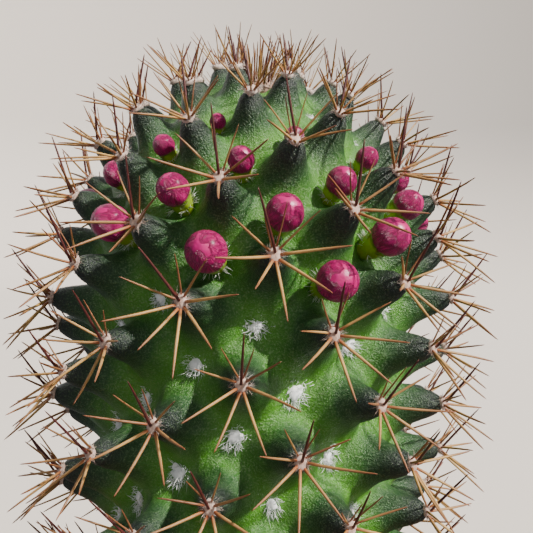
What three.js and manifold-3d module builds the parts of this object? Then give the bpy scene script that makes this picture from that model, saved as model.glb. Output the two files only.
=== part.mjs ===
// A potted nipple cactus: a round-topped columnar stem covered in spiralling
// tubercles, a ring of closed flower buds round its shoulder, and a plain
// flowerpot filled with soil. Millimetres, +Z up, origin at the middle of the
// pot's base.

import * as THREE from 'three';
import { mergeVertices } from 'three/addons/utils/BufferGeometryUtils.js';
import Module from 'manifold-3d';

const wasm = await Module();
wasm.setup();

// Pot
const POT_HEIGHT = 78;
const POT_RIM_RADIUS = 46;
const POT_FOOT_RADIUS = 31;
const POT_WALL = 4;
const POT_FLOOR = 5;
const RIM_BAND_HEIGHT = 18;
const RIM_BAND_STEP = 2.5;
const DRAIN_RADIUS = 5;
const POT_SIDES = 36;

// Soil
const SOIL_BELOW_RIM = 7;
const SOIL_MOUND = 1.5;
const SEAT_GAP = 0.3;

// Stem: the sheet that the tubercle tips lie on
const TIP_RADIUS = 29;
const CROWN_RISE = 33;
const COLUMN_HEIGHT = 64;
const CROWN_AREOLES = 72;
const CROWN_POWER = 0.9;
const COLUMN_STEP = 0.66;
const COLUMN_TAPER = 0.0006;
const BARE_HEIGHT = 13;
const DIVERGENCE = THREE.MathUtils.degToRad(137.456);
const START_AZIMUTH = THREE.MathUtils.degToRad(110.8);
const FIRST_AREOLE = 8;
const COLLAR_RADIUS = 19;
const COLLAR_DEPTH = 9;
const COLLAR_SIDES = 24;

// Tubercles at the widest place; those nearer the crown are smaller
const TUBERCLE_LENGTH = 8.6;
const TUBERCLE_TIP_RADIUS = 1.5;
const TUBERCLE_LIFT = 0.2;
const TUBERCLE_SIDES = 6;
const SADDLE_SHARE = 0.8;
const YOUNG_BASE_RADIUS = 5.6;
const ROOTED_DEPTH = 1.5;

// Spine clusters, one on each areole
const SPINES_PER_CLUSTER = 7;
const SPINE_LENGTH = 8;
const CENTRAL_SPINE_LENGTH = 9;
const CROWN_SPINE_SHARE = 0.45;
const SPINE_RISES = [26, 48, 66].map(THREE.MathUtils.degToRad);
const PAD_RADIUS = 0.8;
const PAD_THICKNESS = 0.5;
const CENTRAL_ROOT_RADIUS = 0.3;
const CENTRAL_LEAN = 0.25;
const LAST_SPINED_AREOLE = 35;

// Crown wool, which covers the youngest areoles
const WOOL_SIDES = 10;
const WOOL_RISE = 1.6;
const WOOL_TIP_RADIUS = 0.35;
const WOOL_FOOT_SHARE = 0.33;
const WOOL_SHOULDER_SHARE = 0.5;

// Flower buds, which sit in the axils above the tubercles
const BUD_RADIUS = 2.25;
const BUD_LENGTH = 5.4;
const BUD_WIDEST = 0.45;
const BUD_CLEARANCE = 1.1;
const BUD_DROP = 1.2;
const BUD_YOUNGEST_SHARE = 0.55;
const BUD_FOOT_SHARE = 0.3;
const BUD_SIDES = 8;
const RING_BUDS = [43, 66];
const STRAY_BUDS = [35, 40, 69, 74];

// A bud's outline above its foot: shares of its radius, and of its length from its widest place
const BUD_OUTLINE = [
  [0.82, -0.22],
  [1, 0],
  [0.85, 0.2],
  [0.45, 0.38],
];

// The two families of spirals that bound an axil, as steps between areoles
const SHALLOW_SPIRAL = 8;
const STEEP_SPIRAL = 13;

const terracotta = new THREE.MeshStandardMaterial({ color: 0xb5653c, roughness: 0.85, metalness: 0 });
const pottingSoil = new THREE.MeshStandardMaterial({ color: 0x3a2a1e, roughness: 1, metalness: 0 });
const greenSkin = new THREE.MeshStandardMaterial({ color: 0x2f6a34, roughness: 0.4, metalness: 0 });
const whiteWool = new THREE.MeshStandardMaterial({ color: 0xe9dfcf, roughness: 1, metalness: 0 });
const tanSpine = new THREE.MeshStandardMaterial({ color: 0xc79a6a, roughness: 0.6, metalness: 0 });
const magentaBud = new THREE.MeshStandardMaterial({ color: 0xc2265c, roughness: 0.45, metalness: 0 });

const Z_AXIS = new THREE.Vector3(0, 0, 1);
const Y_AXIS = new THREE.Vector3(0, 1, 0);

const soilTop = POT_HEIGHT - SOIL_BELOW_RIM;
const shoulderHeight = soilTop + COLUMN_HEIGHT;
const columnAreoles = Math.floor((COLUMN_HEIGHT - BARE_HEIGHT) / COLUMN_STEP);
const lastAreole = CROWN_AREOLES + columnAreoles;

// ---------------------------------------------------------------- helpers

function welded(geometry) {
  geometry.deleteAttribute('normal');
  geometry.deleteAttribute('uv');
  return mergeVertices(geometry, 1e-4);
}

function solidOf(geometry) {
  const merged = welded(geometry);
  return new wasm.Manifold(new wasm.Mesh({
    numProp: 3,
    vertProperties: new Float32Array(merged.attributes.position.array),
    triVerts: new Uint32Array(merged.index.array),
  }));
}

function geometryOf(solid) {
  const mesh = solid.getMesh();
  const geometry = new THREE.BufferGeometry();
  geometry.setAttribute('position', new THREE.BufferAttribute(mesh.vertProperties, 3));
  geometry.setIndex(new THREE.BufferAttribute(mesh.triVerts, 1));
  return geometry;
}

function facetedBody(points, triangles) {
  const geometry = new THREE.BufferGeometry().setFromPoints(points);
  geometry.setIndex(triangles);
  return geometry;
}

// Joins solids two by two, so that no join works on a needlessly large body.
function joined(solids) {
  let level = solids;
  while (level.length > 1) {
    const next = [];
    for (let i = 0; i < level.length; i += 2) {
      next.push(i + 1 < level.length ? level[i].add(level[i + 1]) : level[i]);
    }
    level = next;
  }
  return level[0];
}

// A turned shape from [radius, height] pairs that run up its outside.
function turned(profile, sides) {
  const points = profile.map(([radius, height]) => new THREE.Vector2(radius, height));
  return new THREE.LatheGeometry(points, sides).rotateX(Math.PI / 2);
}

// ------------------------------------------------- where the areoles grow

// Radius and height of the tip sheet at an areole's place in the growth order,
// counted from the growing point.
function sheetPoint(order) {
  const above = Math.min(order, CROWN_AREOLES) / CROWN_AREOLES;
  const below = Math.max(order - CROWN_AREOLES, 0);
  const angle = (Math.PI / 2) * above ** CROWN_POWER;
  return {
    radius: TIP_RADIUS * Math.sin(angle) - COLUMN_TAPER * below ** 2,
    height: shoulderHeight + CROWN_RISE * Math.cos(angle) - COLUMN_STEP * below,
  };
}

// How far apart neighbouring areoles stand, from the area that each one has.
function spacing(order) {
  const before = sheetPoint(order - 0.5);
  const after = sheetPoint(order + 0.5);
  const rise = Math.hypot(after.radius - before.radius, after.height - before.height);
  return Math.sqrt(2 * Math.PI * sheetPoint(order).radius * rise);
}

const fullSpacing = spacing(CROWN_AREOLES);

function areole(order) {
  const { radius, height } = sheetPoint(order);
  const azimuth = START_AZIMUTH - DIVERGENCE * order;
  const outward = new THREE.Vector3(Math.sin(azimuth), -Math.cos(azimuth), 0);
  const tip = outward.clone().multiplyScalar(radius).setZ(height);
  const above = Math.max(height - shoulderHeight, 0);
  const normal = outward.clone().multiplyScalar(radius / TIP_RADIUS ** 2);
  normal.setZ(above / CROWN_RISE ** 2).normalize();
  const pointing = normal.clone().addScaledVector(Z_AXIS, TUBERCLE_LIFT).normalize();
  const uphill = Z_AXIS.clone().addScaledVector(normal, -normal.z).normalize();
  const size = Math.min(spacing(order) / fullSpacing, 1);
  return { order, tip, normal, pointing, uphill, size };
}

const areoles = [];
for (let order = FIRST_AREOLE; order <= lastAreole; order += 1) {
  areoles.push(areole(order));
}

// ------------------------------------------------------------ pot and soil

// The outside wall leans from the foot to the rim band in one straight line.
const wallTopRadius = POT_RIM_RADIUS - RIM_BAND_STEP;
const bandFoot = POT_HEIGHT - RIM_BAND_HEIGHT;
const wallSlope = (wallTopRadius - POT_FOOT_RADIUS) / POT_HEIGHT;

function outerWallRadius(height) {
  return POT_FOOT_RADIUS + wallSlope * height;
}

function innerWallRadius(height) {
  return outerWallRadius(height) - POT_WALL;
}

function potGeometry() {
  const outline = [
    [DRAIN_RADIUS, 0],
    [POT_FOOT_RADIUS, 0],
    [outerWallRadius(bandFoot), bandFoot],
    [outerWallRadius(bandFoot) + RIM_BAND_STEP, bandFoot + RIM_BAND_STEP / 2],
    [POT_RIM_RADIUS, POT_HEIGHT],
    [innerWallRadius(POT_HEIGHT), POT_HEIGHT],
    [innerWallRadius(POT_FLOOR), POT_FLOOR],
    [DRAIN_RADIUS, POT_FLOOR],
    [DRAIN_RADIUS, 0],
  ];
  return turned(outline, POT_SIDES);
}

// The soil fills the pot and has a socket that the stem's collar stands in.
function soilGeometry() {
  const foot = POT_FLOOR + SEAT_GAP;
  const socketRadius = COLLAR_RADIUS + SEAT_GAP;
  const socketFloor = soilTop - COLLAR_DEPTH - SEAT_GAP;
  const outline = [
    [0, foot],
    [innerWallRadius(foot) - SEAT_GAP, foot],
    [innerWallRadius(soilTop) - SEAT_GAP, soilTop],
    [socketRadius + SOIL_MOUND * 2, soilTop + SOIL_MOUND],
    [socketRadius, soilTop + SOIL_MOUND / 2],
    [socketRadius, socketFloor],
    [0, socketFloor],
  ];
  return turned(outline, POT_SIDES);
}

// -------------------------------------------------------------------- stem

// Lowest point of the valley between areoles a and b, a share of a tubercle's
// length below the middle of the line between their tips.
function valley(a, b, share) {
  const first = areole(a);
  const second = areole(b);
  const normal = first.normal.clone().add(second.normal).normalize();
  const depth = TUBERCLE_LENGTH * share * (first.size + second.size) / 2;
  return first.tip.clone().add(second.tip).multiplyScalar(0.5).addScaledVector(normal, -depth);
}

// The axil above an areole, and the saddles that join it to its upper neighbours.
function axil(order) {
  return valley(order - SHALLOW_SPIRAL, order - STEEP_SPIRAL, 1);
}

function shallowSaddle(order) {
  return valley(order, order - SHALLOW_SPIRAL, SADDLE_SHARE);
}

function steepSaddle(order) {
  return valley(order, order - STEEP_SPIRAL, SADDLE_SHARE);
}

// The foot of a tubercle, counter-clockwise from its upper axil.
function footOf(order) {
  const both = SHALLOW_SPIRAL + STEEP_SPIRAL;
  return [
    { key: `axil ${order}`, point: axil(order) },
    { key: `steep ${order}`, point: steepSaddle(order) },
    { key: `axil ${order + SHALLOW_SPIRAL}`, point: axil(order + SHALLOW_SPIRAL) },
    { key: `shallow ${order + SHALLOW_SPIRAL}`, point: shallowSaddle(order + SHALLOW_SPIRAL) },
    { key: `axil ${order + both}`, point: axil(order + both) },
    { key: `steep ${order + STEEP_SPIRAL}`, point: steepSaddle(order + STEEP_SPIRAL) },
    { key: `axil ${order + STEEP_SPIRAL}`, point: axil(order + STEEP_SPIRAL) },
    { key: `shallow ${order}`, point: shallowSaddle(order) },
  ];
}

// The woven skin: each tubercle rises from a foot that it shares with its
// neighbours, and the two open ends are closed to points on the axis.
function skinGeometry(firstOrder, lastOrder, crownPoint, footPoint) {
  const points = [];
  const triangles = [];
  const known = new Map();

  function sharedIndex({ key, point }) {
    if (!known.has(key)) {
      known.set(key, points.length);
      points.push(point);
    }
    return known.get(key);
  }

  for (let order = firstOrder; order <= lastOrder; order += 1) {
    const { tip, pointing, size } = areole(order);
    const foot = footOf(order);
    const rim = points.length;
    for (const { point } of foot) {
      const away = point.clone().sub(tip);
      away.addScaledVector(pointing, -away.dot(pointing)).setLength(TUBERCLE_TIP_RADIUS * size);
      points.push(tip.clone().add(away));
    }
    const ring = foot.map(sharedIndex);
    for (let i = 0; i < ring.length; i += 1) {
      const next = (i + 1) % ring.length;
      triangles.push(ring[i], ring[next], rim + i);
      triangles.push(ring[next], rim + next, rim + i);
    }
    for (let i = 1; i < ring.length - 1; i += 1) {
      triangles.push(rim, rim + i, rim + i + 1);
    }
  }

  const edges = new Set();
  for (let i = 0; i < triangles.length; i += 3) {
    const corners = triangles.slice(i, i + 3);
    corners.forEach((corner, k) => edges.add(`${corner} ${corners[(k + 1) % 3]}`));
  }
  const crown = points.push(crownPoint) - 1;
  const root = points.push(footPoint) - 1;
  for (const edge of edges) {
    const [from, to] = edge.split(' ').map(Number);
    if (!edges.has(`${to} ${from}`)) {
      triangles.push(to, from, points[from].z > shoulderHeight ? crown : root);
    }
  }
  return facetedBody(points, triangles);
}

// A young tubercle near the growing point, where the spirals have not opened.
function youngTubercleGeometry({ tip, pointing, size }) {
  const length = (TUBERCLE_LENGTH + ROOTED_DEPTH) * size;
  const geometry = new THREE.CylinderGeometry(
    TUBERCLE_TIP_RADIUS * size,
    YOUNG_BASE_RADIUS * size,
    length,
    TUBERCLE_SIDES,
  );
  geometry.translate(0, -length / 2, 0);
  const turn = new THREE.Quaternion().setFromUnitVectors(Y_AXIS, pointing);
  geometry.applyQuaternion(turn);
  return geometry.translate(tip.x, tip.y, tip.z);
}

// The bare collar that stands in the soil.
function collarGeometry() {
  const foot = soilTop - COLLAR_DEPTH;
  const top = axil(lastAreole).z;
  return turned([[0, foot], [COLLAR_RADIUS, foot], [COLLAR_RADIUS, top], [0, top]], COLLAR_SIDES);
}

function stemGeometry() {
  const crownTop = sheetPoint(0).height - TUBERCLE_LENGTH * areole(FIRST_AREOLE).size;
  const crownPoint = new THREE.Vector3(0, 0, crownTop);
  const footPoint = new THREE.Vector3(0, 0, axil(lastAreole + SHALLOW_SPIRAL).z);
  const firstWoven = FIRST_AREOLE + STEEP_SPIRAL;
  const grown = [
    solidOf(collarGeometry()),
    solidOf(skinGeometry(firstWoven, lastAreole, crownPoint, footPoint)),
  ];
  for (const place of areoles.filter(({ order }) => order < firstWoven)) {
    grown.push(solidOf(youngTubercleGeometry(place)));
  }
  return geometryOf(joined(grown));
}

// ---------------------------------------------------------- spine clusters

// One closed body: a many-sided felt pad whose every side face is drawn out
// into a radial spine, and whose top is drawn out into the central spine.
// Neighbouring clusters rise at different angles, so that their spines pass.
function clusterGeometry({ order, tip, pointing, uphill, size }, lift) {
  const across = new THREE.Vector3().crossVectors(uphill, pointing).normalize();
  const along = new THREE.Vector3().crossVectors(pointing, across);
  const rise = SPINE_RISES[order % SPINE_RISES.length];
  const share = CROWN_SPINE_SHARE + (1 - CROWN_SPINE_SHARE) * size;
  const reach = SPINE_LENGTH * share;
  const base = tip.clone().addScaledVector(pointing, lift);

  function at(angle, radius, height) {
    return base.clone()
      .addScaledVector(across, radius * Math.cos(angle))
      .addScaledVector(along, radius * Math.sin(angle))
      .addScaledVector(pointing, height);
  }

  const count = SPINES_PER_CLUSTER;
  const step = (2 * Math.PI) / count;
  const points = [];
  const triangles = [];
  for (let i = 0; i < count; i += 1) {
    points.push(at(i * step, PAD_RADIUS, 0));
  }
  for (let i = 0; i < count; i += 1) {
    points.push(at(i * step, PAD_RADIUS, PAD_THICKNESS));
  }
  for (let i = 0; i < count; i += 1) {
    const angle = (i + 0.5) * step;
    points.push(at(angle, PAD_RADIUS + reach * Math.cos(rise), PAD_THICKNESS + reach * Math.sin(rise)));
  }
  for (let i = 0; i < count; i += 1) {
    const next = (i + 1) % count;
    const spineTip = 2 * count + i;
    triangles.push(i, next, spineTip);
    triangles.push(next, count + next, spineTip);
    triangles.push(count + next, count + i, spineTip);
    triangles.push(count + i, i, spineTip);
  }
  for (let i = 1; i < count - 1; i += 1) {
    triangles.push(0, i + 1, i);
  }

  // The flat top: a small ring inside the pad's edge carries the central spine.
  const ring = points.length;
  for (let i = 0; i < count; i += 1) {
    points.push(at(i * step, CENTRAL_ROOT_RADIUS, PAD_THICKNESS));
  }
  const centralTip = points.length;
  const central = CENTRAL_SPINE_LENGTH * share;
  points.push(at(Math.PI / 2, central * CENTRAL_LEAN, central));
  for (let i = 0; i < count; i += 1) {
    const next = (i + 1) % count;
    triangles.push(count + i, count + next, ring + next);
    triangles.push(count + i, ring + next, ring + i);
    triangles.push(ring + i, ring + next, centralTip);
  }
  return facetedBody(points, triangles);
}

// Wool over the growing point, drawn up into one blunt tuft.
function woolGeometry() {
  const { tip, size } = areole(FIRST_AREOLE);
  const edge = Math.hypot(tip.x, tip.y) - (YOUNG_BASE_RADIUS * size) / 2 - SEAT_GAP;
  const coreTop = sheetPoint(0).height - TUBERCLE_LENGTH * size;
  const profile = [
    [0, coreTop + SEAT_GAP],
    [edge * WOOL_FOOT_SHARE, coreTop + SEAT_GAP],
    [edge, sheetPoint(FIRST_AREOLE).height + SEAT_GAP],
    [edge * WOOL_SHOULDER_SHARE, sheetPoint(0).height + WOOL_RISE * WOOL_SHOULDER_SHARE],
    [WOOL_TIP_RADIUS, sheetPoint(0).height + WOOL_RISE],
    [0, sheetPoint(0).height + WOOL_RISE],
  ];
  return turned(profile, WOOL_SIDES);
}

// -------------------------------------------------------------------- buds

function budScale(order) {
  const youngest = Math.min(...STRAY_BUDS);
  const age = (order - youngest) / (RING_BUDS[1] - youngest);
  const grown = BUD_YOUNGEST_SHARE + (1 - BUD_YOUNGEST_SHARE) * Math.min(age, 1);
  return grown * areole(order).size;
}

// A bud stands between the tips of the two tubercles above its own, a little
// down the slope, and as deep as its width lets it sink between their flanks.
function budPlace(order) {
  const own = areole(order);
  const left = areole(order - SHALLOW_SPIRAL);
  const right = areole(order - STEEP_SPIRAL);
  const normal = left.normal.clone().add(right.normal).normalize();
  const uphill = Z_AXIS.clone().addScaledVector(normal, -normal.z).normalize();
  const centre = left.tip.clone().add(right.tip).multiplyScalar(0.5);
  const toAxil = centre.distanceTo(own.tip) - TUBERCLE_TIP_RADIUS * own.size;
  const flank = toAxil / (TUBERCLE_LENGTH * own.size);
  const drop = BUD_DROP * own.size;
  const depth = (toAxil - drop - BUD_RADIUS * budScale(order) - BUD_CLEARANCE) / flank;
  centre.addScaledVector(normal, -depth);
  centre.addScaledVector(uphill, -drop);
  return { centre, normal };
}

function budGeometry(order) {
  const { centre, normal } = budPlace(order);
  const scale = budScale(order);
  const foot = -BUD_LENGTH * BUD_WIDEST;
  const profile = [
    [0, foot],
    [BUD_RADIUS * BUD_FOOT_SHARE, foot],
    ...BUD_OUTLINE.map(([wide, high]) => [BUD_RADIUS * wide, BUD_LENGTH * high]),
    [0, foot + BUD_LENGTH],
  ];
  const geometry = turned(profile, BUD_SIDES).scale(scale, scale, scale);
  const turn = new THREE.Quaternion().setFromUnitVectors(Z_AXIS, normal);
  geometry.applyQuaternion(turn);
  return geometry.translate(centre.x, centre.y, centre.z);
}

// ---------------------------------------------------------------- assembly

const plant = new THREE.Group();

function addPiece(name, geometry, material) {
  const mesh = new THREE.Mesh(geometry, material.clone());
  mesh.name = name;
  plant.add(mesh);
}

addPiece('pot', welded(potGeometry()), terracotta);
addPiece('soil', welded(soilGeometry()), pottingSoil);

addPiece('stem', stemGeometry(), greenSkin);
for (const place of areoles.filter(({ order }) => order <= LAST_SPINED_AREOLE)) {
  addPiece(`spines_${place.order}`, clusterGeometry(place, SEAT_GAP), tanSpine);
}
addPiece('crown_wool', welded(woolGeometry()), whiteWool);

const budOrders = [...STRAY_BUDS];
for (let order = RING_BUDS[0]; order <= RING_BUDS[1]; order += 1) {
  budOrders.push(order);
}
budOrders.sort((a, b) => a - b);
for (const order of budOrders) {
  addPiece(`bud_${order}`, welded(budGeometry(order)), magentaBud);
}

export default plant;
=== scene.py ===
"""Looks of the potted nipple cactus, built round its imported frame.

The file is laid out as a Blender add-on: property groups hold the sizes and colours, one operator
makes each piece or group of like pieces, and a panel lists them. Run as a script, it makes them all.
Everything is in metres, +Z up, with the origin at the middle of the pot's base.
"""

import math
import random

import bpy
import numpy as np
from mathutils import Matrix, Vector, noise
from mathutils.bvhtree import BVHTree


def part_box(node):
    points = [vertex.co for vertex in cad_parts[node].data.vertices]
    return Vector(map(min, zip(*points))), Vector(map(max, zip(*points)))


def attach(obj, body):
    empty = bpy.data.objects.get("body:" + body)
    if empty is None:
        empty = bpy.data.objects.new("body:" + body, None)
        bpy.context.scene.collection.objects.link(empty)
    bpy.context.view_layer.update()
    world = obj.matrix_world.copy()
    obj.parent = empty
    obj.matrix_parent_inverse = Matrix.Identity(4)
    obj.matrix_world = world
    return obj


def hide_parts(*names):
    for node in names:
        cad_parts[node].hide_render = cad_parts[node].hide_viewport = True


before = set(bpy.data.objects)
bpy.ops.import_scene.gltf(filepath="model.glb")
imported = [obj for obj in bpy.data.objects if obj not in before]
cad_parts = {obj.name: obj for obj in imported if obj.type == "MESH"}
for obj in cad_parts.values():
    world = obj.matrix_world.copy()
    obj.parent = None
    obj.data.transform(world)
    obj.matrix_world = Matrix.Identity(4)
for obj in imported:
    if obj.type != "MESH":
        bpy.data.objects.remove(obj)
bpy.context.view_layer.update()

bl_info = {
    "name": "Potted nipple cactus",
    "version": (1, 0, 0),
    "blender": (4, 5, 0),
    "location": "3D View > Sidebar > Cactus",
    "description": "Models a nipple cactus with spine clusters and buds in a clay pot",
    "category": "Add Mesh",
}

MM = 0.001
TINY = 1e-6
UP = Vector((0.0, 0.0, 1.0))
GOLDEN_ANGLE = 2.39996
# The widest random spin in radians, as good as a full turn
WIDEST_SPIN = 6.28
FIRST_AREOLE = 8
RIM_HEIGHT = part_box("pot")[1][2]
RIM_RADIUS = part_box("pot")[1][0]
BUD_ORDERS = sorted(int(name.split("_")[1]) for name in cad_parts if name.startswith("bud_"))
SPINED_NODES = [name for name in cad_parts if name.startswith("spines_")]

# The two families of spirals that bound an axil, as steps between areoles
SHALLOW_SPIRAL = 8
STEEP_SPIRAL = 13


# ------------------------------------------------------------------ properties


def size(label, value, about):
    """A length in metres that a user may change."""
    return bpy.props.FloatProperty(
        name=label, description=about, default=value, unit="LENGTH", subtype="DISTANCE", precision=5
    )


def share(label, value, about):
    """A share of something, from 0 to 1."""
    return bpy.props.FloatProperty(
        name=label, description=about, default=value, min=0.0, max=1.0, subtype="FACTOR"
    )


def number(label, value, about):
    return bpy.props.FloatProperty(name=label, description=about, default=value, subtype="NONE")


def count(label, value, about):
    return bpy.props.IntProperty(name=label, description=about, default=value, min=1, subtype="UNSIGNED")


def angle(label, degrees, about):
    return bpy.props.FloatProperty(
        name=label, description=about, default=math.radians(degrees), unit="ROTATION", subtype="ANGLE"
    )


def colour(label, rgb, about):
    return bpy.props.FloatVectorProperty(
        name=label, description=about, default=rgb, size=3, min=0.0, max=1.0, subtype="COLOR"
    )


class CactusStemSizes(bpy.types.PropertyGroup):
    """Where the areoles grow, and the shape of the stem and its tubercles."""

    tip_radius: size("Tip radius", 0.029, "Radius of the stem over its tubercle tips")
    crown_rise: size("Crown rise", 0.033, "Height of the crown above the widest place")
    shoulder_above_rim: size("Shoulder", 0.057, "Height of the widest place above the pot's rim")
    crown_areoles: count("Crown areoles", 72, "Areoles between the growing point and the widest place")
    crown_power: number("Crown power", 0.9, "How evenly the crown's areoles are spread")
    column_step: size("Column step", 0.00066, "Drop from one areole to the next below the widest place")
    column_taper: number("Column taper", 0.0006, "How fast the column narrows downwards")
    last_areole: count("Last areole", 149, "The oldest areole, just above the soil")
    divergence: angle("Divergence", 137.456, "Turn from one areole to the next")
    start_azimuth: angle("Start azimuth", 110.8, "Azimuth that the spiral starts from")
    tubercle_length: size("Tubercle length", 0.0086, "Height of a full-grown tubercle")
    tubercle_lift: share("Tubercle lift", 0.2, "How much a tubercle leans upwards")
    core_inset: size("Core inset", 0.0078, "Depth of the stem's body below the tips")
    collar_radius: size("Collar radius", 0.019, "Radius of the bare foot of the stem")
    voxel: size("Skin grain", 0.00068, "Size of the faces of the finished skin")


class CactusSpineSizes(bpy.types.PropertyGroup):
    """Spine clusters, wool and buds."""

    radials: count("Radial spines", 9, "Radial spines in a full-grown cluster")
    radial_length: size("Radial length", 0.0078, "Length of a radial spine")
    radial_thickness: size("Radial thickness", 0.00036, "Thickness of a radial spine at its foot")
    young_length: share("Young length", 0.78, "Length of the youngest radial spines")
    young_thickness: share("Young thickness", 0.52, "Thickness of the youngest radial spines")
    central_length: size("Central length", 0.0078, "Length of a central spine")
    central_thickness: size("Central thickness", 0.00034, "Thickness of a central spine at its foot")
    young_central: share("Young central length", 0.7, "Length of the youngest central spines")
    pad_radius: size("Pad radius", 0.0010, "Radius of the felt pad that the spines stand in")
    felt_hairs: count("Felt hairs", 84, "Hairs on a felt pad")
    felt_length: size("Felt length", 0.00135, "Length of the hairs of the felt pad")
    crown_hairs: count("Crown hairs", 420, "Hairs over the growing point")
    crown_spines: count("Crown spines", 84, "Young spines over the growing point")
    wool_length: size("Wool length", 0.0021, "Length of the hairs of an axil's tuft")
    bud_radius: size("Bud radius", 0.00228, "Radius of a full-grown bud")
    bud_hairs: count("Bud hairs", 64, "Hairs round the foot of a bud")
    bud_lift: share("Bud lift", 0.15, "How much a bud leans upwards")
    youngest_bud: share("Youngest bud", 0.5, "Size of the youngest bud")
    full_grown_bud: count("Full-grown bud", 66, "Order of the first areole whose bud is full-grown")


class CactusPotSizes(bpy.types.PropertyGroup):
    """The pot and the soil."""

    wall: size("Wall", 0.004, "Thickness of the pot's wall")
    floor: size("Floor", 0.005, "Thickness of the pot's floor")
    foot_radius: size("Foot radius", 0.031, "Radius of the pot's base")
    band_height: size("Band height", 0.018, "Height of the rim band")
    band_step: size("Band step", 0.0025, "How far the rim band stands out")
    drain_radius: size("Drain radius", 0.005, "Radius of the drain hole")
    rounding: size("Rounding", 0.0012, "Rounding of the pot's edges")
    soil_below_rim: size("Soil below rim", 0.007, "Height of the rim above the soil")
    grit_size: size("Grit size", 0.0021, "Width of the largest grains of grit")
    grit_count: count("Grit count", 420, "Grains of grit on the soil")


class CactusColours(bpy.types.PropertyGroup):
    """Colours of all the finishes."""

    skin_dark: colour("Skin, dark", (0.0020, 0.0095, 0.0055), "Skin at the tubercle tips")
    skin_mid: colour("Skin, middle", (0.014, 0.076, 0.010), "Skin on the tubercle flanks")
    skin_bright: colour("Skin, bright", (0.080, 0.275, 0.008), "Skin at the tubercle feet")
    # Partly the skin's own fine grain, partly painted glints of the sun on it
    skin_speckles_and_glints: colour("Skin, speckles", (0.33, 0.46, 0.24), "Fine light speckles of the skin")
    skin_dots: colour("Skin, dots", (0.30, 0.45, 0.20), "Scattered dots of the skin")
    cork: colour("Cork", (0.21, 0.17, 0.11), "Corky skin near the soil")
    cork_dark: colour("Cork, dark", (0.07, 0.05, 0.03), "Cracks of the corky skin")
    spine_tan: colour("Spine, tan", (0.56, 0.35, 0.11), "Radial spines")
    spine_brown: colour("Spine, brown", (0.24, 0.105, 0.045), "The darkest radial spines")
    spine_foot: colour("Spine, foot", (0.34, 0.085, 0.03), "Feet of the radial spines")
    spine_tip: colour("Spine, tip", (0.19, 0.062, 0.025), "Tips of the radial spines")
    spine_dark: colour("Spine, central", (0.075, 0.014, 0.012), "Central spines")
    felt: colour("Felt", (0.70, 0.57, 0.49), "Felt pads")
    felt_shade: colour("Felt, shade", (0.42, 0.24, 0.17), "Shade of the felt pads")
    crown_felt: colour("Crown felt", (0.50, 0.36, 0.27), "Felt over the growing point")
    crown_shade: colour("Crown felt, shade", (0.26, 0.12, 0.08), "Shade of the felt over the growing point")
    wool: colour("Wool", (0.96, 0.97, 0.96), "Hair tufts in the axils, and hairs round the buds")
    wool_shade: colour("Wool, shade", (0.84, 0.86, 0.83), "Shade of the hair tufts")
    bud_hair_shade: colour("Bud hair, shade", (0.70, 0.68, 0.50), "Shade of the hairs round the buds")
    bud_pink: colour("Bud, pink", (0.66, 0.002, 0.16), "Tepals of the buds")
    bud_bright: colour("Bud, bright", (0.76, 0.004, 0.34), "Bright blotches of the tepals")
    bud_deep: colour("Bud, deep", (0.16, 0.001, 0.034), "Veins of the tepals")
    bud_margin: colour("Bud, margin", (0.75, 0.18, 0.38), "Margins of the tepals")
    bud_green: colour("Bud, green", (0.30, 0.43, 0.012), "Green base of the buds")
    bud_leaf: colour("Bud, leaf green", (0.20, 0.34, 0.012), "Darker blotches of the green base")
    clay: colour("Clay", (0.46, 0.160, 0.066), "Fired clay of the pot")
    clay_dark: colour("Clay, dark", (0.36, 0.11, 0.045), "Darker clouds in the clay")
    clay_grains: colour("Clay, grains", (0.62, 0.33, 0.19), "Pale grains in the clay")
    # Painted shade inside the sunk pores
    clay_pore_shade: colour("Clay, pores", (0.18, 0.06, 0.03), "Pores in the clay")
    lime: colour("Lime", (0.66, 0.52, 0.42), "Lime bloom on the clay")
    soil: colour("Soil", (0.034, 0.023, 0.016), "Potting soil")
    soil_crumbs: colour("Soil, crumbs", (0.085, 0.056, 0.036), "Lighter crumbs of the soil")
    soil_fibres: colour("Soil, fibres", (0.22, 0.14, 0.08), "Bark fibres in the soil")
    soil_specks: colour("Soil, specks", (0.42, 0.38, 0.31), "Pale specks in the soil")
    grit: colour("Grit", (0.36, 0.32, 0.27), "Grit on the soil")
    grit_dark: colour("Grit, dark", (0.12, 0.085, 0.06), "The darkest grit")
    grit_mottle: colour("Grit, mottle", (0.55, 0.50, 0.42), "Pale mottle of the grit")
    backdrop: colour("Backdrop", (0.46, 0.405, 0.352), "Floor and backdrop")
    backdrop_clouds: colour("Backdrop, clouds", (0.48, 0.435, 0.39), "Faint clouds in the backdrop")


class CactusStageSettings(bpy.types.PropertyGroup):
    """Camera, lights and floor."""

    camera_aside: size("Camera aside", 0.0021, "Camera's distance to the right of the axis")
    camera_away: size("Camera away", 0.0905, "Camera's distance from the axis")
    camera_above: size("Camera above", 0.0107, "Camera's height above the widest place")
    camera_pitch: angle("Camera pitch", 4.43, "How far the camera looks down")
    camera_roll: angle("Camera roll", -1.05, "How far the camera is turned about its view")
    lens: number("Lens", 40.3, "Focal length in millimetres")
    sun_strength: number("Sun strength", 8.6, "Strength of the key light")
    sun_spread: angle("Sun spread", 3.0, "Apparent size of the key light")
    front_strength: number("Front strength", 0.7, "Strength of the soft light from the front")
    front_spread: angle("Front spread", 80.0, "Apparent size of the soft light from the front")
    back_strength: number("Back strength", 1.6, "Strength of the soft light from behind")
    fill_strength: number("Fill strength", 0.27, "Strength of the light from all round")
    floor_radius: size("Floor radius", 1.1, "Radius of the flat part of the floor")
    wall_height: size("Wall height", 1.6, "Height of the backdrop's wall")


GROUPS = {
    "cactus_stem": CactusStemSizes,
    "cactus_spines": CactusSpineSizes,
    "cactus_pot": CactusPotSizes,
    "cactus_colours": CactusColours,
    "cactus_stage": CactusStageSettings,
}


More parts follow.
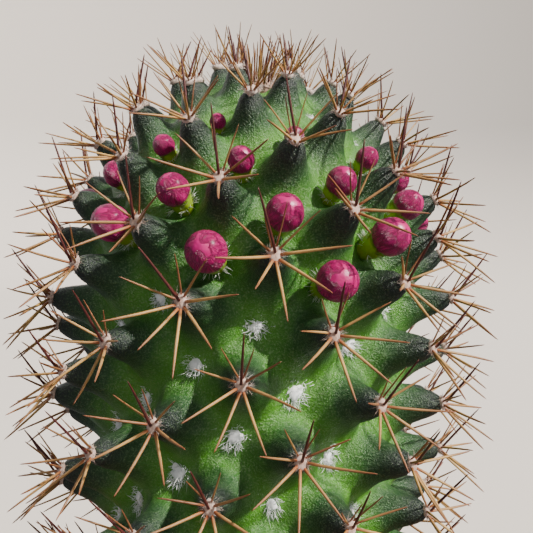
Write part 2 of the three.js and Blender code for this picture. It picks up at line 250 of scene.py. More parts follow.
# -------------------------------------------------------- where the areoles grow


class Areole:
    """One areole's place: tip, outward normal, the way its tubercle points, uphill and relative size."""

    def __init__(self, stem, order):
        radius, height = sheet_point(stem, order)
        azimuth = stem.start_azimuth - stem.divergence * order
        outward = Vector((math.sin(azimuth), -math.cos(azimuth), 0.0))
        above = max(height - RIM_HEIGHT - stem.shoulder_above_rim, 0.0)
        self.order = order
        self.tip = outward * radius + UP * height
        gradient = outward * (radius / stem.tip_radius**2) + UP * (above / stem.crown_rise**2)
        self.normal = gradient.normalized()
        self.pointing = leaning(self.normal, stem.tubercle_lift)
        self.size = min(spacing(stem, order) / spacing(stem, stem.crown_areoles), 1.0)

    def frame(self):
        """A turn whose Z points along the tubercle and whose Y points uphill."""
        return upright_turn(self.pointing)


def sheet_point(stem, order):
    """Radius and height of the sheet of tubercle tips at a place in the growth order."""
    above = min(order, stem.crown_areoles) / stem.crown_areoles
    below = max(order - stem.crown_areoles, 0)
    turn = math.pi / 2 * above**stem.crown_power
    radius = stem.tip_radius * math.sin(turn) - stem.column_taper * MM * below**2
    height = RIM_HEIGHT + stem.shoulder_above_rim + stem.crown_rise * math.cos(turn)
    return radius, height - stem.column_step * below


def spacing(stem, order):
    """How far apart neighbouring areoles stand, from the area that each one has."""
    r0, z0 = sheet_point(stem, order - 0.5)
    r1, z1 = sheet_point(stem, order + 0.5)
    return math.sqrt(math.pi * (r0 + r1) * math.hypot(r1 - r0, z1 - z0))


def leaning(direction, lift):
    return (direction + UP * lift).normalized()


def level(heading):
    """The level direction at a heading."""
    return Vector((math.cos(heading), math.sin(heading), 0.0))


def upright_turn(direction):
    """A 3x3 turn with Z along the direction, X level and Y as near up as can be."""
    across = UP.cross(direction)
    if across.length < TINY:
        across = Vector((1.0, 0.0, 0.0))
    across.normalize()
    return Matrix((across, direction.cross(across), direction)).transposed()


def areoles(stem):
    return [Areole(stem, order) for order in range(FIRST_AREOLE, stem.last_areole + 1)]


def axil(stem, order):
    """The way out of an axil, uphill along the skin, and the middle and the size of what is above it."""
    left = Areole(stem, order - SHALLOW_SPIRAL)
    right = Areole(stem, order - STEEP_SPIRAL)
    normal = (left.normal + right.normal).normalized()
    uphill = upright_turn(normal) @ Vector((0.0, 1.0, 0.0))
    return normal, uphill, (left.tip + right.tip) / 2, left.size


def soil_height():
    return RIM_HEIGHT - bpy.context.scene.cactus_pot.soil_below_rim


def growth(young, age):
    """Size at an age from 0 to 1, for something that starts at young and ends at 1."""
    return young + (1 - young) * age


# --------------------------------------------------------------- mesh handling


class Shape:
    """Points, faces and per-point tags held as arrays, so that copies are quick to place and join."""

    def __init__(self, points, corners, totals, slots, tags):
        self.points = points
        self.corners = corners
        self.totals = totals
        self.slots = slots
        self.tags = tags

    @classmethod
    def of(cls, piece, slot=0):
        mesh = piece.data
        corners = np.empty(len(mesh.loops), dtype=np.int64)
        mesh.loops.foreach_get("vertex_index", corners)
        totals = np.empty(len(mesh.polygons), dtype=np.int64)
        mesh.polygons.foreach_get("loop_total", totals)
        return cls(points_of(mesh), corners, totals, np.full(len(totals), slot), {})

    def on(self, points):
        """The same faces and tags on other points."""
        return Shape(points, self.corners, self.totals, self.slots, self.tags)

    def flipped(self):
        """The same shape with every face turned round, for a mirrored copy."""
        corners = self.corners.copy()
        firsts = np.cumsum(self.totals) - self.totals
        for total in np.unique(self.totals):
            index = firsts[self.totals == total][:, None] + np.arange(total)
            corners[index] = self.corners[index[:, ::-1]]
        return Shape(self.points, corners, self.totals, self.slots, self.tags)

    def placed(self, turn=None, place=(0.0, 0.0, 0.0), scale=(1.0, 1.0, 1.0), **tags):
        """A copy that is scaled, turned and moved, with the tags given set all over it."""
        points = self.points * np.asarray(scale)
        if turn is not None:
            points = points @ np.array(turn).T
        points = points + np.asarray(place)
        kept = dict(self.tags)
        kept.update({name: np.full(len(points), float(value)) for name, value in tags.items()})
        return Shape(points, self.corners, self.totals, self.slots, kept)

    def object(self, name, materials):
        """A mesh object of this shape, at the origin, with its tags as attributes."""
        mesh = bpy.data.meshes.new(name)
        mesh.vertices.add(len(self.points))
        mesh.vertices.foreach_set("co", self.points.ravel())
        mesh.loops.add(len(self.corners))
        mesh.loops.foreach_set("vertex_index", self.corners.astype(np.int32))
        mesh.polygons.add(len(self.totals))
        starts = np.concatenate(([0], np.cumsum(self.totals)[:-1]))
        mesh.polygons.foreach_set("loop_start", starts.astype(np.int32))
        mesh.polygons.foreach_set("material_index", self.slots.astype(np.int32))
        mesh.update(calc_edges=True)
        mesh.validate()
        for tag, values in self.tags.items():
            store(mesh, tag, values)
        mesh.shade_smooth()
        for material in materials:
            mesh.materials.append(material)
        piece = bpy.data.objects.new(name, mesh)
        bpy.context.scene.collection.objects.link(piece)
        return piece


def merged(shapes):
    """One shape of many; a tag that a shape lacks is zero on it."""
    widths = {name: values.shape[1:] for shape in shapes for name, values in shape.tags.items()}
    offsets = np.cumsum([0] + [len(shape.points) for shape in shapes[:-1]])
    tags = {}
    for name, width in sorted(widths.items()):
        tags[name] = np.concatenate([s.tags.get(name, np.zeros((len(s.points), *width))) for s in shapes])
    return Shape(
        np.concatenate([shape.points for shape in shapes]),
        np.concatenate([shape.corners + offset for shape, offset in zip(shapes, offsets)]),
        np.concatenate([shape.totals for shape in shapes]),
        np.concatenate([shape.slots for shape in shapes]),
        tags,
    )


def points_of(mesh):
    points = np.empty(len(mesh.vertices) * 3)
    mesh.vertices.foreach_get("co", points)
    return points.reshape(-1, 3)


def store(mesh, tag, values):
    """Stores a number or a vector for each point as an attribute."""
    values = np.asarray(values, dtype=np.float32)
    kind, key = ("FLOAT", "value") if values.ndim == 1 else ("FLOAT_VECTOR", "vector")
    mesh.attributes.new(tag, kind, "POINT").data.foreach_set(key, values.ravel())


def surface_of(piece):
    """The piece's surface, ready for rays."""
    corners = [vertex.co for vertex in piece.data.vertices]
    return BVHTree.FromPolygons(corners, [tuple(face.vertices) for face in piece.data.polygons])


def only(piece):
    """Makes one object the only selected one and the active one."""
    bpy.ops.object.select_all(action="DESELECT")
    piece.select_set(True)
    bpy.context.view_layer.objects.active = piece


def turned(name, rings, sides, closed=(None, None)):
    """Models a round piece ring by ring: a circle is added, then extruded and scaled up its height.

    rings are (radius, height) pairs. closed gives the heights of the two poles, or None where an
    end is left open.
    """
    bpy.ops.object.select_all(action="DESELECT")
    radius, height = rings[0]
    bpy.ops.mesh.primitive_circle_add(vertices=sides, radius=radius, location=(0.0, 0.0, height))
    piece = bpy.context.object
    piece.name = name
    bpy.ops.object.transform_apply(location=True)
    bpy.ops.object.mode_set(mode="EDIT")
    bpy.ops.mesh.select_all(action="SELECT")
    for next_radius, next_height in rings[1:]:
        extrude_ring(next_radius / radius, next_height, next_height - height)
        radius, height = next_radius, next_height
    if closed[1] is not None:
        extrude_ring(1.0, closed[1], closed[1] - height)
        bpy.ops.mesh.merge(type="CENTER")
    if closed[0] is not None:
        bpy.ops.mesh.select_all(action="DESELECT")
        bpy.ops.object.mode_set(mode="OBJECT")
        for index in range(sides):
            piece.data.vertices[index].select = True
        bpy.ops.object.mode_set(mode="EDIT")
        extrude_ring(1.0, closed[0], closed[0] - rings[0][1])
        bpy.ops.mesh.merge(type="CENTER")
    bpy.ops.object.mode_set(mode="OBJECT")
    edit_all(piece, bpy.ops.mesh.normals_make_consistent, inside=False)
    return piece


def edit_all(piece, operator, **settings):
    """Runs an edit mode operator on the whole of a piece."""
    only(piece)
    bpy.ops.object.mode_set(mode="EDIT")
    bpy.ops.mesh.select_all(action="SELECT")
    operator(**settings)
    bpy.ops.object.mode_set(mode="OBJECT")


def extrude_ring(factor, height, rise):
    bpy.ops.mesh.extrude_region_move(TRANSFORM_OT_translate={"value": (0.0, 0.0, rise)})
    bpy.ops.transform.resize(value=(factor, factor, 1.0), center_override=(0.0, 0.0, height))


def turned_shape(rings, sides, closed=(None, None), slot=0):
    """The arrays of a turned piece, whose object is removed again."""
    piece = turned("master", rings, sides, closed)
    shape = Shape.of(piece, slot)
    bpy.data.objects.remove(piece, do_unlink=True)
    return shape


def apply_modifier(piece, kind, **settings):
    only(piece)
    modifier = piece.modifiers.new(kind.title(), kind)
    for name, value in settings.items():
        setattr(modifier, name, value)
    bpy.ops.object.modifier_apply(modifier=modifier.name)


def dress(piece, nodes=()):
    """Rides the piece on the one body, and hides the frame's nodes that it stands for."""
    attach(piece, "root")
    if nodes:
        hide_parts(*nodes)


# ------------------------------------------------------------------- materials


class Wire:
    """An output socket that takes arithmetic: each operation adds its Math node."""

    def __init__(self, recipe, socket):
        self.recipe = recipe
        self.socket = socket

    def maths(self, operation, left, right=0.0):
        return self.recipe.node("ShaderNodeMath", {"operation": operation}, {0: left, 1: right})

    def __add__(self, other):
        return self.maths("ADD", self, other)

    __radd__ = __add__

    def __sub__(self, other):
        return self.maths("SUBTRACT", self, other)

    def __rsub__(self, other):
        return self.maths("SUBTRACT", other, self)

    def __mul__(self, other):
        return self.maths("MULTIPLY", self, other)

    __rmul__ = __mul__


class Recipe:
    """A node material in the making."""

    def __init__(self, name):
        self.material = bpy.data.materials.new(name)
        self.material.use_nodes = True
        self.tree = self.material.node_tree
        self.surface = self.tree.nodes["Principled BSDF"]

    def node(self, kind, settings=None, inputs=None, output=0):
        """Adds a node: its settings first, then the values or links of its sockets."""
        made = self.tree.nodes.new(kind)
        for name, value in (settings or {}).items():
            if name == "stops":
                self.set_stops(made.color_ramp, value)
            else:
                setattr(made, name, value)
        for key, value in (inputs or {}).items():
            self.feed(made.inputs[key], value)
        return Wire(self, made.outputs[output])

    def feed(self, socket, value):
        if isinstance(value, Wire):
            self.tree.links.new(value.socket, socket)
        elif socket.type == "RGBA" and len(value) == 3:
            socket.default_value = (*value, 1.0)
        else:
            socket.default_value = value

    def set_stops(self, ramp, stops):
        while len(ramp.elements) < len(stops):
            ramp.elements.new(1.0)
        for element, (place, grey) in zip(ramp.elements, stops):
            element.position = place
            element.color = (grey, grey, grey, 1.0)

    def place(self):
        return self.node("ShaderNodeTexCoord", output="Object")

    def tag(self, name, output="Fac"):
        return self.node("ShaderNodeAttribute", {"attribute_name": name}, output=output)

    def grain(self, vector, scale, detail=2.0, roughness=0.5):
        """Noise from 0 to 1."""
        inputs = {"Vector": vector, "Scale": scale, "Detail": detail, "Roughness": roughness}
        return self.node("ShaderNodeTexNoise", {}, inputs, "Fac")

    def cells(self, vector, scale):
        """Distance to the nearest of scattered points."""
        return self.node("ShaderNodeTexVoronoi", {}, {"Vector": vector, "Scale": scale}, "Distance")

    def ramp(self, value, *stops):
        return self.node("ShaderNodeValToRGB", {"stops": stops}, {"Fac": value}, "Color")

    def mix(self, factor, first, second):
        """Blends two colours."""
        settings = {"data_type": "RGBA"}
        return self.node("ShaderNodeMix", settings, {0: factor, 6: first, 7: second}, 2)

    def stretched(self, vector, scale):
        return self.node("ShaderNodeVectorMath", {"operation": "MULTIPLY"}, {0: vector, 1: scale})

    def bump(self, height, distance, strength=1.0):
        inputs = {"Height": height, "Distance": distance, "Strength": strength}
        return self.node("ShaderNodeBump", {}, inputs)

    def finish(self, **sockets):
        """Sets the surface's sockets and returns the material."""
        for name, value in sockets.items():
            self.feed(self.surface.inputs[name.replace("_", " ")], value)
        return self.material


def skin_material(colours):
    """Waxy green skin: dark tips, bright feet, ribbed patches, fine pits and dots, light speckles that are
    partly real grain and partly painted glints, cork near the soil.
    """
    recipe = Recipe("waxy_skin")
    place = recipe.place()
    depth = recipe.tag("depth")
    cork = recipe.tag("cork")
    patches = recipe.grain(place, 260.0, 3.0)
    fine = recipe.grain(place, 4200.0, 3.0, 0.65)
    dots = recipe.ramp(recipe.cells(place, 2400.0), (0.0, 1.0), (0.25, 0.0))
    sunk = depth + (patches - 0.5) * 0.5
    lower = recipe.mix(recipe.ramp(sunk, (0.58, 0.0), (0.95, 1.0)), colours.skin_mid, colours.skin_bright)
    green = recipe.mix(recipe.ramp(sunk, (0.16, 0.0), (0.62, 1.0)), colours.skin_dark, lower)
    # Light speckles over the flanks and feet: partly the skin's fine grain, partly painted glints and
    # glare, strongest near the axils
    glinting_speckles = recipe.ramp(fine, (0.50, 0.0), (0.68, 1.0)) * recipe.ramp(depth, (0.2, 0.3), (0.8, 1.0))
    light = recipe.mix(0.6, lower, colours.skin_speckles_and_glints)
    green = recipe.mix(glinting_speckles * 0.7, green, light)
    green = recipe.mix(dots * 0.3, green, colours.skin_dots)
    coarse = recipe.grain(place, 700.0, 5.0, 0.65)
    bark = recipe.mix(coarse, colours.cork, colours.cork_dark)
    ribs = recipe.stretched(recipe.tag("rib", "Vector"), (7.0, 7.0, 1.0))
    wrinkles = recipe.grain(ribs, 1.0, 3.0, 0.55)
    ribbed = recipe.ramp(depth, (0.1, 0.1), (0.55, 1.0)) * recipe.tag("inner")
    ribbed = ribbed * recipe.ramp(patches, (0.42, 0.15), (0.60, 1.0))
    height = wrinkles * ribbed * 0.55 + fine * 0.55 + dots * 0.2 + coarse * cork * 2.0
    return recipe.finish(
        Base_Color=recipe.mix(cork, green, bark),
        Roughness=0.27 - ribbed * wrinkles * 0.1 + fine * 0.26 + cork * 0.3,
        Normal=recipe.bump(height, 0.00040, 1.0),
        Subsurface_Weight=0.05,
        Subsurface_Radius=(0.4, 1.0, 0.2),
        Subsurface_Scale=0.0012,
        Specular_IOR_Level=0.55,
    )


def spine_material(colours):
    """Dry spines: red-brown foot, tan shaft, dark tip; the central ones dark all along."""
    recipe = Recipe("spine")
    along = recipe.tag("along")
    dark = recipe.tag("dark")
    tone = recipe.tag("tone")
    streak = recipe.grain(recipe.stretched(recipe.place(), (1.0, 1.0, 0.6)), 2600.0, 2.0)
    shaft = recipe.mix(tone, colours.spine_tan, colours.spine_brown)
    shaft = recipe.mix(recipe.ramp(along, (0.0, 0.9), (0.2, 0.0)), shaft, colours.spine_foot)
    tinted = recipe.mix(recipe.ramp(along, (0.45, 0.0), (0.95, 1.0)), shaft, colours.spine_tip)
    shaded = recipe.mix(streak * 0.35, tinted, colours.spine_tip)
    return recipe.finish(
        Base_Color=recipe.mix(dark, shaded, colours.spine_dark),
        Roughness=0.42 + streak * 0.2,
        Normal=recipe.bump(streak, 0.00005, 0.5),
        Subsurface_Weight=0.12,
        Subsurface_Radius=(1.0, 0.6, 0.35),
        Subsurface_Scale=0.0006,
    )


def hair_material(name, tint, shade):
    """Nearly matt hair, which takes its shade towards the roots, in blotches and where its tone is high."""
    recipe = Recipe(name)
    along = recipe.tag("along")
    blotch = recipe.grain(recipe.place(), 1600.0, 2.0)
    body = recipe.mix(recipe.ramp(along, (0.0, 0.9), (0.6, 0.0)), tint, shade)
    body = recipe.mix(recipe.tag("tone") * 0.45, body, shade)
    return recipe.finish(
        Base_Color=recipe.mix(blotch * 0.3, body, shade),
        Roughness=0.72 + blotch * 0.15,
        Normal=recipe.bump(blotch, 0.00008, 0.6),
        Sheen_Weight=0.5,
        Sheen_Roughness=0.4,
        Subsurface_Weight=0.2,
        Subsurface_Radius=(1.0, 0.9, 0.8),
        Subsurface_Scale=0.0006,
    )


def bud_material(colours):
    """Silky magenta tepals with deep veins and pale margins over a yellow-green base."""
    recipe = Recipe("bud")
    place = recipe.place()
    high = recipe.tag("high")
    fold = recipe.tag("fold")
    lane = recipe.stretched(recipe.tag("lane", "Vector"), (16.0, 1.5, 3.0))
    blotch = recipe.grain(place, 900.0, 3.0)
    veins = recipe.grain(lane, 1.0, 3.0, 0.6)
    pink = recipe.mix(blotch * 0.6, colours.bud_pink, colours.bud_bright)
    pink = recipe.mix(recipe.ramp(veins, (0.38, 0.0), (0.62, 1.0)) * 0.9, pink, colours.bud_deep)
    pink = recipe.mix(recipe.ramp(fold, (0.8, 0.0), (1.0, 1.0)) * 0.3, pink, colours.bud_margin)
    green = recipe.mix(blotch, colours.bud_green, colours.bud_leaf)
    edge = high + (blotch - 0.5) * 0.35
    return recipe.finish(
        Base_Color=recipe.mix(recipe.ramp(edge, (0.33, 0.0), (0.42, 1.0)), green, pink),
        Roughness=0.30 + veins * 0.2,
        Normal=recipe.bump(veins + blotch * 0.5, 0.00035, 1.0),
        Subsurface_Weight=0.04,
        Subsurface_Radius=(1.0, 0.25, 0.35),
        Subsurface_Scale=0.0012,
        Coat_Weight=0.12,
        Coat_Roughness=0.28,
    )


def clay_material(colours):
    """Fired clay with grains, fine pores darkened with painted shade, turning lines, and a bloom of lime
    round its lower part.
    """
    recipe = Recipe("fired_clay")
    place = recipe.place()
    broad = recipe.grain(place, 28.0, 4.0, 0.6)
    grains = recipe.grain(place, 900.0, 4.0, 0.7)
    pores = recipe.ramp(recipe.cells(place, 420.0), (0.0, 1.0), (0.12, 0.0))
    lines = recipe.grain(recipe.stretched(place, (6.0, 6.0, 900.0)), 1.0, 2.0)
    bloom = recipe.ramp(recipe.tag("bloom") + (broad - 0.5) * 1.3, (0.3, 0.0), (1.2, 1.0))
    body = recipe.mix(broad, colours.clay, colours.clay_dark)
    body = recipe.mix(recipe.ramp(grains, (0.55, 0.0), (0.8, 1.0)) * 0.5, body, colours.clay_grains)
    # The sunk pores are darkened with painted shade
    body = recipe.mix(pores * 0.5, body, colours.clay_pore_shade)
    return recipe.finish(
        Base_Color=recipe.mix(bloom * 0.3, body, colours.lime),
        Roughness=0.78 + grains * 0.18,
        Normal=recipe.bump(grains * 0.5 + lines * 0.4 - pores * 1.2, 0.0003, 0.7),
    )


def soil_material(colours):
    """Dark crumbs of peat and bark with pale specks."""
    recipe = Recipe("potting_soil")
    place = recipe.place()
    crumbs = recipe.grain(place, 420.0, 5.0, 0.7)
    specks = recipe.ramp(recipe.cells(place, 330.0), (0.0, 1.0), (0.14, 0.0))
    fibres = recipe.grain(recipe.stretched(place, (1500.0, 300.0, 900.0)), 1.0, 3.0)
    body = recipe.mix(crumbs, colours.soil, colours.soil_crumbs)
    body = recipe.mix(recipe.ramp(fibres, (0.6, 0.0), (0.8, 1.0)) * 0.6, body, colours.soil_fibres)
    return recipe.finish(
        Base_Color=recipe.mix(specks * 0.7, body, colours.soil_specks),
        Roughness=0.85 + crumbs * 0.12,
        Normal=recipe.bump(crumbs + fibres * 0.4, 0.0008, 0.9),
    )


def grit_material(colours):
    """Small stones, each with a tone of its own."""
    recipe = Recipe("grit")
    place = recipe.place()
    tone = recipe.tag("tone")
    mottle = recipe.grain(place, 800.0, 3.0)
    body = recipe.mix(tone, colours.grit, colours.grit_dark)
    return recipe.finish(
        Base_Color=recipe.mix(mottle * 0.5, body, colours.grit_mottle),
        Roughness=0.7 + mottle * 0.2,
        Normal=recipe.bump(mottle, 0.0003, 0.7),
    )


def backdrop_material(colours):
    """A pale matt wall that glows a little, so that it stays pale and even."""
    recipe = Recipe("backdrop")
    cloud = recipe.grain(recipe.place(), 1.6, 3.0)
    warm = recipe.mix(cloud, colours.backdrop, colours.backdrop_clouds)
    return recipe.finish(
        Base_Color=warm,
        Roughness=0.9 + cloud * 0.05,
        Emission_Color=warm,
        Emission_Strength=1.05,
    )


# ------------------------------------------------------------------- the stem


def tubercle_shape():
    """A full-grown tubercle, tip at the origin and pointing along Z: a blunt finger with a flared foot."""
    profile = [(0.75, -0.08), (1.2, -0.35), (1.55, -1.0), (1.95, -2.1), (2.3, -3.4)]
    profile += [(2.75, -4.8), (3.45, -6.1), (4.3, -7.3), (5.0, -8.4), (5.0, -10.4)]
    rings = [(radius * MM, height * MM) for radius, height in profile]
    return turned_shape(rings, 20, closed=(0.0, rings[-1][1] - MM))


def core_shape(stem):
    """The body under the tubercles, from the foot in the soil to the crown."""
    soil = soil_height()
    rings = [(stem.collar_radius, soil - 9 * MM), (stem.collar_radius * 1.02, soil + 3 * MM)]
    for order in range(stem.last_areole + 8, FIRST_AREOLE, -5):
        place = Areole(stem, order)
        root = place.tip - place.normal * stem.core_inset * place.size
        rings.append((math.hypot(root.x, root.y), root.z))
    top = sheet_point(stem, 0)[1] - stem.core_inset * Areole(stem, FIRST_AREOLE).size
    return turned_shape(rings, 48, closed=(rings[0][1] - MM, top))


def build_stem(stem):
    """Joins the core and the tubercles, remeshes them into one skin and rounds its valleys.

    The rounding sets in where a point lies deep enough below its tubercle's tip, and grows in steps.
    """
    shallow, deep, steps = 0.35, 0.75, 8
    tubercle = tubercle_shape()
    shapes = [core_shape(stem)]
    for place in areoles(stem):
        width = place.size**0.4
        shapes.append(tubercle.placed(place.frame(), place.tip, (width, width, place.size)))
    skin = merged(shapes).object("stem_skin", [])
    apply_modifier(skin, "REMESH", mode="VOXEL", voxel_size=stem.voxel, use_smooth_shade=True)
    depth = tag_stem(skin, stem)
    valleys = skin.vertex_groups.new(name="valleys")
    reached = np.round(np.clip((depth - shallow) / (deep - shallow), 0.0, 1.0) * steps)
    for step in range(1, steps + 1):
        valleys.add(np.flatnonzero(reached == step).tolist(), step / steps, "REPLACE")
    apply_modifier(skin, "SMOOTH", factor=0.5, iterations=12, vertex_group="valleys")
    apply_modifier(skin, "SMOOTH", factor=0.5, iterations=3)
    return skin


def tag_stem(skin, stem):
    """Stores on each point how deep it lies below its tubercle's tip, its place round it, and its cork.

    Between two tubercles the depths are blended, and inner fades to zero there. The rib tag is a place
    for ribs to follow: a circle round the tubercle and a height along it, apart for each tubercle.
    """
    blend, stretch, apart = 1.6 * MM, 150.0, 7.3
    bare, fading = 4 * MM, 12 * MM
    points = points_of(skin.data)
    nearest, second = np.full((2, len(points)), np.inf)
    depth, second_depth = np.zeros((2, len(points)))
    rib = np.zeros((len(points), 3))
    for place in areoles(stem):
        length = stem.tubercle_length * place.size
        local = (points - np.array(place.tip)) @ np.array(place.frame())
        below = np.clip(-local[:, 2], 0.0, length)
        away = np.sqrt(local[:, 0] ** 2 + local[:, 1] ** 2 + (local[:, 2] + below) ** 2)
        closer = away < nearest
        between = ~closer & (away < second)
        second[closer], second_depth[closer] = nearest[closer], depth[closer]
        second[between], second_depth[between] = away[between], (below / length)[between]
        nearest[closer], depth[closer] = away[closer], (below / length)[closer]
        around = np.arctan2(local[:, 1], local[:, 0])
        lane = np.stack([np.cos(around), np.sin(around), below * stretch + place.order * apart], axis=1)
        rib[closer] = lane[closer]
    inner = np.clip((second - nearest) / blend, 0.0, 1.0)
    depth = depth * (0.5 + 0.5 * inner) + second_depth * (0.5 - 0.5 * inner)
    cork = np.clip(1.0 - (points[:, 2] - soil_height() - bare) / fading, 0.0, 1.0)
    for name, values in (("depth", depth), ("inner", inner), ("cork", cork), ("rib", rib)):
        store(skin.data, name, values)
    return depth


# ------------------------------------------------------ spines, felt and wool


def needle_shape(rings, sides, foot, slot):
    """A needle of unit length and unit foot radius along Z, with its tag along."""
    shape = turned_shape(rings, sides, closed=(foot, 1.0), slot=slot)
    shape.tags["along"] = np.clip(shape.points[:, 2], 0.0, 1.0)
    return shape


def spine_shape(slot=0):
    rings = [(1.0, 0.0), (1.0, 0.2), (0.9, 0.5), (0.72, 0.78), (0.42, 0.95)]
    return needle_shape(rings, 6, -0.02, slot)


def hair_shape(slot=0):
    return needle_shape([(1.0, 0.0), (0.7, 0.55)], 3, -0.05, slot)


def pointing_copy(shape, start, direction, length, radius, rng, bend, **tags):
    """Sets a spine or a hair on its start, pointing its way.

    Its tip is bent aside, to a random side, by up to a share of its length.
    """
    points = shape.points * (radius, radius, length)
    curve = rng.uniform(0.3, 1.0) * bend / length * points[:, 2] ** 2
    heading = rng.uniform(0.0, 2 * math.pi)
    points[:, 0] += curve * math.cos(heading)
    points[:, 1] += curve * math.sin(heading)
    return shape.on(points).placed(upright_turn(direction), start, **tags)


def tuft(hair, rng, hairs, length, radius, spread, start_radius):
    """Hairs that radiate from a small patch at the origin; spread is their lean from Z in radians."""
    shapes = []
    for _ in range(hairs):
        heading = rng.uniform(0.0, 2 * math.pi)
        lean = rng.uniform(0.25, 1.0) * spread
        direction = level(heading) * math.sin(lean) + UP * math.cos(lean)
        start = level(heading + rng.gauss(0.0, 0.9)) * start_radius * rng.random() ** 0.7
        reach = length * rng.uniform(0.45, 1.0)
        shapes.append(pointing_copy(hair, start, direction, reach, radius, rng, 0.5))
    return shapes


def roughen(shape, rng, deviation):
    """Moves each point a little at random."""
    moves = [rng.gauss(0.0, deviation) for _ in range(shape.points.size)]
    shape.points += np.array(moves).reshape(-1, 3)


def cluster_shape(spines, seed, age, hair, spine):
    """A spine cluster in its own frame: Z along the tubercle, Y uphill.

    age runs from 0 at the growing point to 1 full grown: young clusters are more erect and finer, on a
    fuller pad.
    """
    rng = random.Random(seed)
    fullness = 1.1 - 0.25 * age
    pad_rings = [(0.75, -0.5), (0.98, -0.15), (0.95, 0.15), (0.75, 0.35), (0.4, 0.45)]
    pad = turned_shape(pad_rings, 14, closed=(-0.6, 0.48), slot=1)
    pad.points *= spines.pad_radius * fullness
    roughen(pad, rng, 0.045 * MM)
    pad.tags["along"] = np.clip(np.hypot(pad.points[:, 0], pad.points[:, 1]) / spines.pad_radius, 0.0, 0.7)
    shapes = [pad.placed(scale=(0.85, 1.15, 1.0), tone=age)]
    radials = spines.radials - (0 if rng.random() < 0.5 else 1)
    twist = rng.uniform(-0.2, 0.2)
    # The radial spines on the uphill side stand up more, and are shorter, finer and browner
    for i in range(radials):
        heading = math.pi / 2 + (i + 0.5) * 2 * math.pi / radials + twist + rng.uniform(-0.1, 0.1)
        upward = max(math.sin(heading), 0.0)
        rise = math.radians(37 + 8 * upward + 24 * (1 - age) + rng.uniform(-7, 8))
        flat = level(heading)
        direction = flat * math.cos(rise) + UP * math.sin(rise)
        start = Vector((flat.x * 0.62, flat.y * 0.85, 0.25)) * spines.pad_radius
        length = spines.radial_length * growth(spines.young_length, age)
        length *= (1 - 0.38 * upward) * rng.uniform(0.88, 1.06)
        radius = spines.radial_thickness / 2 * growth(spines.young_thickness, age) * (1 - 0.42 * upward)
        tone = min(rng.random() * (0.7 + 0.6 * upward) + 0.35 * upward, 1.0)
        tags = {"dark": 0.0, "tone": tone}
        shapes.append(pointing_copy(spine, start, direction, length, radius, rng, 0.06, **tags))
    # One central spine, and now and then a second one that stands up more
    for i in range(1 if rng.random() < 0.85 else 2):
        direction = Vector((rng.uniform(-0.25, 0.25), 0.75 - 0.5 * i, 0.8)).normalized()
        length = spines.central_length * growth(spines.young_central, age) * rng.uniform(0.9, 1.05)
        radius = spines.central_thickness / 2
        start = Vector((0.0, 0.1, 0.5)) * spines.pad_radius
        tags = {"dark": 1.0, "tone": 0.0}
        shapes.append(pointing_copy(spine, start, direction, length, radius, rng, 0.04, **tags))
    start_radius = spines.pad_radius * fullness
    hairs = tuft(hair, rng, spines.felt_hairs, spines.felt_length, 0.028 * MM, 2.0, start_radius)
    return merged(shapes + [strand.placed(tone=age) for strand in hairs])


# ------------------------------------------------------------------- the buds

TEPALS = 16
TEPAL_TURN = 2.399


def bud_growth(spines, order):
    """How far a bud has grown: the youngest ones nearest the crown are the smallest."""
    age = (order - BUD_ORDERS[0]) / (spines.full_grown_bud - BUD_ORDERS[0])
    return growth(spines.youngest_bud, min(age, 1.0))


def bud_shape(seed):
    """A closed bud of unit radius: overlapping tepals over a green base, axis along Z.

    The lane tag holds a point's place across its tepal, its place along it, and which tepal it is.
    """
    rng = random.Random(seed)
    profile = [(0.46, -2.3), (0.56, -2.0), (0.66, -1.65), (0.74, -1.3), (0.80, -1.0), (0.85, -0.78)]
    profile += [(math.cos(a), math.sin(a) * 1.04) for a in np.radians(np.arange(-36, 84, 6.0))]
    shape = turned_shape(profile, 48, closed=(-2.35, 1.05))
    points = shape.points
    radius = np.hypot(points[:, 0], points[:, 1])
    around = np.arctan2(points[:, 1], points[:, 0])
    height = points[:, 2].copy()
    lift = np.zeros(len(points))
    fold = np.zeros(len(points))
    lane = np.zeros((len(points), 3))
    taken = np.zeros(len(points), dtype=bool)
    for i in range(TEPALS):
        foot = -0.86 + 0.02 * i
        tip = 0.35 + 0.7 * i / (TEPALS - 1) + rng.uniform(-0.05, 0.05)
        middle = i * TEPAL_TURN + rng.uniform(-0.1, 0.1)
        climb = np.clip((height - foot) / (tip - foot), 0.0, 1.0)
        wide = 0.62 * np.sin(np.pi * climb**0.8) ** 0.6 + 0.05
        apart = np.abs((around - middle + np.pi) % (2 * np.pi) - np.pi)
        side = apart / np.maximum(wide, TINY) * np.maximum(radius, 0.25)
        covered = (side < 1.0) & (height > foot) & (height < tip) & ~taken
        swell = (1 - side**2) * 0.035 + 0.06 * (TEPALS - i) / TEPALS
        swell *= np.sin(np.pi * np.clip(climb, 0.04, 1.0) ** 0.5)
        lift[covered] = swell[covered]
        fold[covered] = np.maximum(side, climb**4)[covered]
        signed = np.where(np.sin(around - middle) < 0, -side, side)
        lane[covered] = np.stack([signed, climb, np.full(len(points), i * 3.1)], axis=1)[covered]
        taken |= covered
    grown = 1 + lift / np.maximum(np.hypot(radius, height), 0.3)
    pink = height > -0.8
    points[pink] = points[pink] * grown[pink, None]
    shape.tags.update(high=np.clip((height + 1.5) / 2.4, 0.0, 1.0), fold=fold, lane=lane)
    return shape


# ------------------------------------------------------------------- operators


